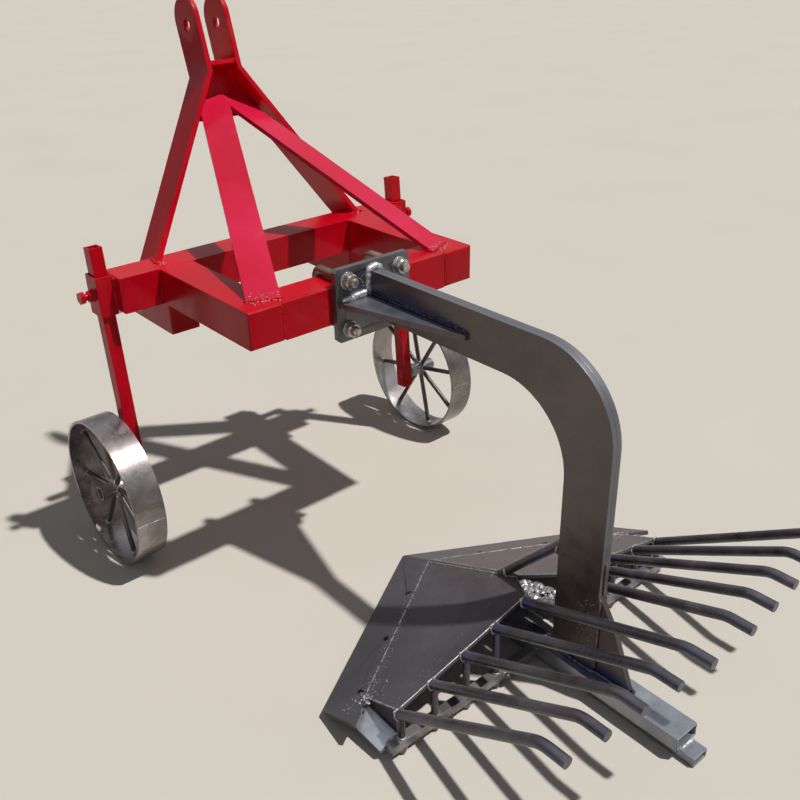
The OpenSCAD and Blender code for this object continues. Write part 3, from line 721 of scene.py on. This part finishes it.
def share_welds():
    welds = Shape("share_welds", "frame", BEAD, "raw_steel", 11)
    for x in (-6, 6):
        pts = [(x, y, wing(x, y) + 0.2) for y in range(SEAM_Y, NOTCH_Y - 5, -12)]
        welds.weld(pts, 2.2, pitch=4.5, press=0.6)
    seam_end = DECK_X - 5
    for s, r in ((-1, 1.5), (1, 1.3)):
        x = 4
        while x < seam_end:
            run = welds.r.uniform(9, 26)
            pts = [(s * a, seam_y(a) + welds.r.uniform(-1, 1), wing(a, seam_y(a)))
                   for a in (x, min(seam_end, x + run))]
            welds.weld(pts, r * welds.r.uniform(0.8, 1.35), pitch=4, press=0.6)
            x += run + welds.r.uniform(0, 8)
    for s in SIDES:
        for t, bend in zip(TINES, BENDS):
            slope = (TINE_Z - root_z(t)) / (bend + ROOT_Y)
            welds.ring_weld((s * t, ROOT_Y - 1.2, root_z(t) + 0.5), (0, -1, slope), 10.0, 2.2)
            welds.lump((s * (t + 7), DECK_Y - 1, wing(t + 7, DECK_Y) + 0.5), 3.4)
            welds.lump((s * (t - 6), DECK_Y - 2, wing(t - 6, DECK_Y) - 0.5), 3.8)
    # both ends of the round strut
    welds.ring_weld((0, -776, wing(0, -776) + 4), (0, -0.8, 0.62), 11.5, 2.6)
    welds.ring_weld((0, -902, 278), (0, 1, 0.1), 11, 2.6)
    # the heap of weld metal between the deck's notch and the shank
    heap_z = wing(0, NOTCH_Y - 9) - 12
    for i in range(150):
        y = welds.r.uniform(-905, -808)
        half = 6 + (NOTCH_Y - y) * 0.28
        r = welds.r.uniform(5, 10) if i % 3 == 0 else welds.r.uniform(1.2, 3.6)
        place = (welds.r.uniform(-half, half), y, heap_z + welds.r.uniform(-3, 3))
        welds.lump(place, r, 0.5, ragged=0.4, flat=True)
    welds.done()


def share_spatter():
    drops = Shape("share_spatter", "frame", BEAD, "raw_steel", 12)
    drops.spatter((0, SEAM_Y, 0), (0, NOTCH_Y, 0), 11, 330, (0.4, 1.0), wing)
    for s in SIDES:
        inner, outer = sided(s, (8, seam_y(8), 0), (DECK_X, seam_y(DECK_X), 0))
        drops.spatter(inner, outer, 8, 420, (0.4, 0.9), wing)
    drops.spatter((-40, -800, 0), (-370, -858, 0), 9, 60, (0.4, 0.9), wing)
    # drops on the shank's sides, near its rear edge
    for s in SIDES:
        for _ in range(60):
            y, z = drops.r.uniform(-1005, -960), drops.r.uniform(70, 210)
            drops.lump((s * (SHANK_SIDE + 0.2), y, z), drops.r.uniform(0.5, 1.5), 0.7, (s, 0, 0))
    drops.done()


def corner_welds():
    welds = Shape("corner_welds", "frame", BEAD, "bright_steel", 14)
    for s in SIDES:
        end = [(s * DECK_X, y, wing(DECK_X, y) - 0.5)
               for y in (seam_y(DECK_X) - 2, -800, -830, DECK_Y)]
        welds.weld(end, 1.8, pitch=5, press=0.8, sway=0.3)
        past = [(s * x, seam_y(x) - 1.5, wing(x, seam_y(x)) - 9) for x in (DECK_X + 2, 400, 421)]
        welds.weld(past, 3.4, pitch=5, sway=0.3)
        for _ in range(26):
            x = DECK_X + welds.r.gauss(0, 9)
            y = seam_y(DECK_X) + welds.r.gauss(-2, 9)
            z = wing(x, y) + welds.r.uniform(-1, 1)
            welds.lump((s * x, y, z), welds.r.uniform(1.2, 3.6), 0.5)
        for _ in range(90):
            x, y = DECK_X + welds.r.uniform(-50, 50), seam_y(DECK_X) + welds.r.gauss(0, 18)
            if y > seam_y(x) or x < DECK_X:
                welds.lump((s * x, y, wing(x, y)), welds.r.uniform(0.5, 1.4), 0.7)
    welds.done()


def deck_rear_edge():
    # A thin bright bead along the decks' rear edges, a painted highlight of the edge.
    edge = Shape("deck_rear_edge", "frame", DECK_EDGE_HIGHLIGHT, "bright_steel", 13)
    back = DECK_Y - 0.6
    for s in SIDES:
        pts = [(s * 2, NOTCH_Y - 2, wing(2, NOTCH_Y - 2) - 1),
               (s * NOTCH_X, back, wing(NOTCH_X, DECK_Y) - 1)]
        pts += [(s * x, back, wing(x, DECK_Y) - 0.8) for x in range(70, DECK_X, 20)]
        edge.weld(pts, 1.1, pitch=9, sway=0.1)
    edge.done()


# Welds of flange, shank and foot

def flange_welds():
    welds = Shape("flange_welds", "frame", BRIGHT, "raw_steel", 21)
    y = FLANGE_BACK - 0.5
    arch = ((-14, 642), (-15.5, 668), (-13.5, 697), (0, 700), (13.5, 697), (15.5, 668), (14, 642))
    welds.weld([(x, y - 2, z) for x, z in arch], 7.6, pitch=6.5)
    for s in SIDES:
        welds.weld(sided(s, (86, y - 2, 645), (15, y - 2, 646)), 7.4, pitch=7, press=0.9)
        welds.weld(sided(s, (62, y - 3, 648), (15, y - 3.5, 651)), 6.4, pitch=6)
        welds.weld(sided(s, (88, y - 1, 628), (16, y - 1, 628)), 4.0, pitch=6)
        welds.weld(sided(s, (13.5, y - 1, 626), (13.5, y - 1, 596)), 4.2, pitch=6)
    welds.spatter((0, y - 1, 640), (0, y - 1, 690), 26, 110, (0.6, 1.5), axis=(0, -1, 0))
    welds.done()


def gusset_welds():
    welds = Shape("gusset_welds", "frame", DARK, "raw_steel", 23)
    x, end, z = SHANK_SIDE + 1, GUSSET_END + 2, GUSSET_TOP + 2
    for s in SIDES:
        welds.weld(sided(s, (x, FLANGE_BACK - 8, z), (x, end, z)), 4.6, pitch=6, sway=0.3)
        welds.weld(sided(s, (12.4, -384, 650.5), (12.4, -640, 648.5)), 3.4, pitch=7, sway=0.3)
        welds.weld(sided(s, (x, end - 3, z - 2), (x, end - 3, z - 13)), 2.6, pitch=5)
    welds.done()


def shank_welds():
    welds = Shape("shank_welds", "frame", DULL, "raw_steel", 24)
    y = SHANK_BACK - 1
    for s in SIDES:
        welds.weld(sided(s, (7.5, y, 224), (7.5, y, 56)), 3.4, pitch=5)
    welds.weld([(0, y, 228), (0, y, 300)], 2.6, pitch=5)
    welds.done()


def foot_welds():
    welds = Shape("foot_welds", "frame", BLUE, "bright_steel", 22)
    top, skid = FOOT_TOP + 1.5, SKID_TOP - 0.5
    for s in SIDES:
        heel = sided(s, (14, -906, 52), (14, -1006, 52), (8.5, -1012, 52), (8, -1090, top))
        welds.weld(heel, 4.2, pitch=5.5)
        for y, end in ((-652, -700), (-840, -900)):
            welds.weld(sided(s, (6, y, top), (6, end, top)), 2.6)
        for y in (-1205, -1120, -1010, -900, -790, -680):
            welds.weld(sided(s, (21.3, y, skid), (21.3, y + 24, skid)), 2.2)
    welds.weld([(-8, -1094, top), (8, -1094, top)], 3.6)
    welds.done()


def skid_welds():
    welds = Shape("skid_welds", "frame", BRIGHT, "bright_steel", 25)
    y = FOOT_BACK - 1
    welds.weld([(-19, y, 20.5), (-9, y - 1, 22), (9, y - 1, 22), (19, y, 20.5)], 4.6, pitch=5)
    welds.done()


def rail_parts():
    """Stay feet, studs with nuts under the rail and the end plates' seams."""
    welds = Shape("rail_welds", "frame", BEAD, "raw_steel", 31)
    studs = Shape("rail_studs", "frame", PEG, "raw_steel", 32)
    middle, top = RAIL_TOP - RAIL / 2, RAIL_TOP + 0.5
    tip, stub = [(0, 3.8), (0.8, 5), (4, 5)], [(0, 6), (9, 6), (10, 5.2)]
    for s in SIDES:
        for t in TINES[1:]:
            x = s * t
            welds.ring_weld((x, RAIL_Y, RAIL_TOP + 1), (0, 0, 1), 7.4, 1.9)
            studs.nut((x, RAIL_Y, 5), (0, 0, 1), 19, 11, turn=0.3)
            studs.turned((x, RAIL_Y, 1.5), (0, 0, 1), tip, sides=20)
        studs.turned((s * 120, RAIL_BACK, middle), (0, -1, 0), stub, sides=24)
        welds.ring_weld((s * 120, RAIL_BACK - 1, middle), (0, 1, 0), 6.6, 1.6)
        welds.weld(sided(s, (31, RAIL_BACK - 1, top), (31, DECK_Y, top)), 2.4)
        welds.weld(sided(s, (380, DECK_Y - 1.5, RAIL_TOP), (405, DECK_Y - 1.5, RAIL_TOP)), 2.4)
        welds.weld(sided(s, (375, -864, 40), (375, -864, wing(375, -864) - 12)), 2.2)
    welds.done()
    studs.done()


# The frame's welds

def tube_seams(welds, s):
    """Seams between the frame's tubes, filled and painted over."""
    welds.weld(sided(s, (219, 0.2, 669.4), (296, 0.2, 669.4)), 3.3, pitch=9, press=0.8, sway=0.05)
    level = sided(s, (SIDE_IN, REAR_FRONT - 2, 669.8), (SIDE_IN, REAR_BACK + 4, 669.8))
    welds.weld(level, 3.1, pitch=8, press=0.8, sway=0.08)
    upright = sided(s, (SIDE_IN, REAR_BACK + 2.4, 668), (SIDE_IN, REAR_BACK + 2.4, 596))
    welds.weld(upright, 3.1, pitch=8, sway=0.08)
    inner, outer = SIDE_IN - 0.5, SIDE_OUT + 0.5
    high, low = BEAM_TOP - 1, BEAM_LOW + 2
    welds.weld(sided(s, (outer, -0.5, high), (outer, -0.5, low)), 1.7, pitch=6)
    welds.weld(sided(s, (inner, -0.5, high), (inner, -0.5, low)), 2.4, pitch=6)
    y = REAR_FRONT + 0.5
    welds.weld(sided(s, (inner, y, high), (inner, y, low + 1)), 2.4, pitch=6)


def arm_seams(welds, s):
    """Seams of the hitch arm under the front beam."""
    z = BEAM_LOW - 1
    for x in (ARM_IN, ARM_OUT):
        welds.weld(sided(s, (x, 4, z), (x, 78, z)), 2.8, pitch=6)
    welds.weld(sided(s, (ARM_IN, BEAM + 1, z), (ARM_OUT, BEAM + 1, z)), 3.0, pitch=6)
    welds.weld(sided(s, (ARM_IN + 2, -1, z), (ARM_OUT - 2, -1, z)), 2.8, pitch=6)


def mast_foot_seams(welds, s):
    """Seams of the mast's leg on the front beam's top and front."""
    top, front = BEAM_TOP + 1, BEAM + 1
    for off in (-7.6, 7.6):
        on_top = [(s * (leg_x(y, top) + off), y, top) for y in (38, 58, 79)]
        welds.weld(on_top, 2.9, pitch=6)
        in_front = [(s * (leg_x(front, z) + off), front, z) for z in (671, 648, 624)]
        welds.weld(in_front, 2.6, pitch=6)
    rear = leg_x(37, top)
    welds.weld(sided(s, (rear + 8, 37.5, top), (rear - 8, 37.5, top)), 3.6, pitch=5)
    welds.lump((s * (rear + 9), 37, top + 1), 5.2, 0.7)


def socket_seams(welds, s):
    """Seams of the post's socket on the beam's end, and of its lock nut."""
    high, low, top = BEAM_TOP - 1, BEAM_LOW + 2, BEAM_TOP + 1
    welds.weld(sided(s, (BEAM_END + 1, 27, high), (BEAM_END + 1, 27, low)), 3.0, pitch=6)
    welds.weld(sided(s, (BEAM_END - 0.5, 30, top), (BEAM_END - 0.5, 78, top)), 2.8, pitch=6)
    welds.weld(sided(s, (BEAM_END, BEAM + 1, high), (BEAM_END, BEAM + 1, low)), 2.4, pitch=6)
    welds.ring_weld((s * 432.5, SOCKET_Y, BEAM_TOP - BEAM / 2), (1, 0, 0), 13, 2.0)


def brace_seams(welds, s):
    """Seams of the brace's foot on the rear beam."""
    cos, sin, z = math.cos(BRACE_TURN), math.sin(BRACE_TURN), BEAM_TOP + 1
    ends = [(s * (BRACE_X + u * cos), BRACE_Y + u * sin, z) for u in (BRACE_HALF, -BRACE_HALF)]
    welds.weld(ends, 4.2, pitch=6.5)
    for p in ends:
        welds.weld([p, (p[0] - s * 20 * sin, p[1] + 20 * cos, z)], 3.2, pitch=6)


def mast_plate_seams(welds, s):
    """Seams of the level plate and the upright plate between the mast's bars."""
    welds.weld([at_bend(s * 31.2, y, 21.4) for y in (-43, 0, 43)], 2.4, pitch=5)
    welds.weld([at_bend(s * 31.2, -45.2, z) for z in (21, 11)], 2.6)
    welds.weld([at_bend(s * (30.6 - z * SPLAY), 7.6, z) for z in (-6, -50, -97)], 2.2, pitch=5)


def frame_welds():
    welds = Shape("frame_welds", "frame", RED, "red_paint", 41)
    for s in SIDES:
        for seams in (tube_seams, arm_seams, mast_foot_seams, socket_seams, brace_seams,
                      mast_plate_seams):
            seams(welds, s)
    welds.done()


def frame_spatter():
    """Pale drops on the braces' feet, on the beam behind them and at the mast's feet."""
    drops = Shape("frame_spatter", "frame", PALE, "red_paint", 42)
    cos, sin, rise = math.cos(BRACE_TURN), math.sin(BRACE_TURN), math.tan(BRACE_SLOPE)
    top = BEAM_TOP + 0.6
    for s in SIDES:
        for _ in range(120):
            u, v = drops.r.uniform(-34, 34), drops.r.gauss(1, 8)
            x, y = BRACE_X + u * cos - v * sin, BRACE_Y + u * sin + v * cos
            z = top + max(0.0, v) * rise
            drops.lump((s * x, y, z), drops.r.uniform(0.7, 2.0), 0.7)
        for _ in range(26):
            x, y = 278 + drops.r.gauss(0, 7), 32 + drops.r.gauss(0, 7)
            drops.lump((s * x, y, top), drops.r.uniform(0.8, 2.2), 0.7)
    drops.done()


# Clamp and wheels

def fasteners():
    """Washers, nuts and thread ends of the clamp's U-bolts."""
    clamp = Shape("clamp_nuts", "frame", ZINC, "zinc", 51)
    threads = Shape("clamp_threads", "frame", ZINC, "zinc", 52)
    back = (0, -1, 0)
    washer = [(0, 18.2), (2.4, 18.4), (3.0, 17.8), (3.0, 10.4), (0, 10.4)]
    thread = [(0, 10.05)]
    for i in range(4):
        thread += [(0.4 + 2.0 * i, 9.5), (1.4 + 2.0 * i, 10.15)]
    thread += [(8.2, 9.2), (9.0, 8.2)]
    for x in (-NUT_X, NUT_X):
        for z in NUT_ZS:
            clamp.turned((x, FLANGE_BACK, z), back, washer, sides=48, closed=True)
            turn = 0.4 + x * 0.01 + z * 0.003
            clamp.nut((x, FLANGE_BACK - 3, z), back, 30, 16, bore=20.4, turn=turn)
            threads.turned((x, FLANGE_BACK - 19, z), back, thread, sides=32)
    nuts = clamp.done()
    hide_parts("ubolt_nuts")
    threads.done()


def wheel_details():
    """Welds at both ends of the spokes and the seam of the band."""
    for s, side, seam_at in ((-1, "left", 183), (1, "right", 178)):
        lo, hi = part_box("gauge_wheel_" + side)
        hub = Vector(((lo.x + hi.x) / 2 * 1000, ((lo.y + hi.y) / 2 - Y0) * 1000, WHEEL_R))
        welds = Shape("wheel_welds_" + side, "wheel_" + side, BEAD, "bright_steel", 61 + s)
        for i in range(SPOKES):
            a = math.radians(SPOKE_TURN + 360 / SPOKES * i)
            out = Vector((0, math.cos(a), math.sin(a)))
            welds.ring_weld(hub + out * 17.6, out, 6.8, 1.7, count=14)
            welds.ring_weld(hub + out * 168.3, out, 7.0, 2.0, count=14)
        a = math.radians(seam_at)
        out = Vector((0, math.cos(a), math.sin(a)))
        half = Vector((34, 0, 0))
        welds.weld([hub - half + out * 174.2, hub + half + out * 174.3], 1.4, pitch=4, press=0.8)
        welds.done()


for make in (share_welds, share_spatter, corner_welds, deck_rear_edge, flange_welds, gusset_welds,
             shank_welds, foot_welds, skid_welds, rail_parts, frame_welds, frame_spatter,
             fasteners, wheel_details):
    make()

bpy.context.scene.view_settings.view_transform = "Standard"
bpy.context.view_layer.update()
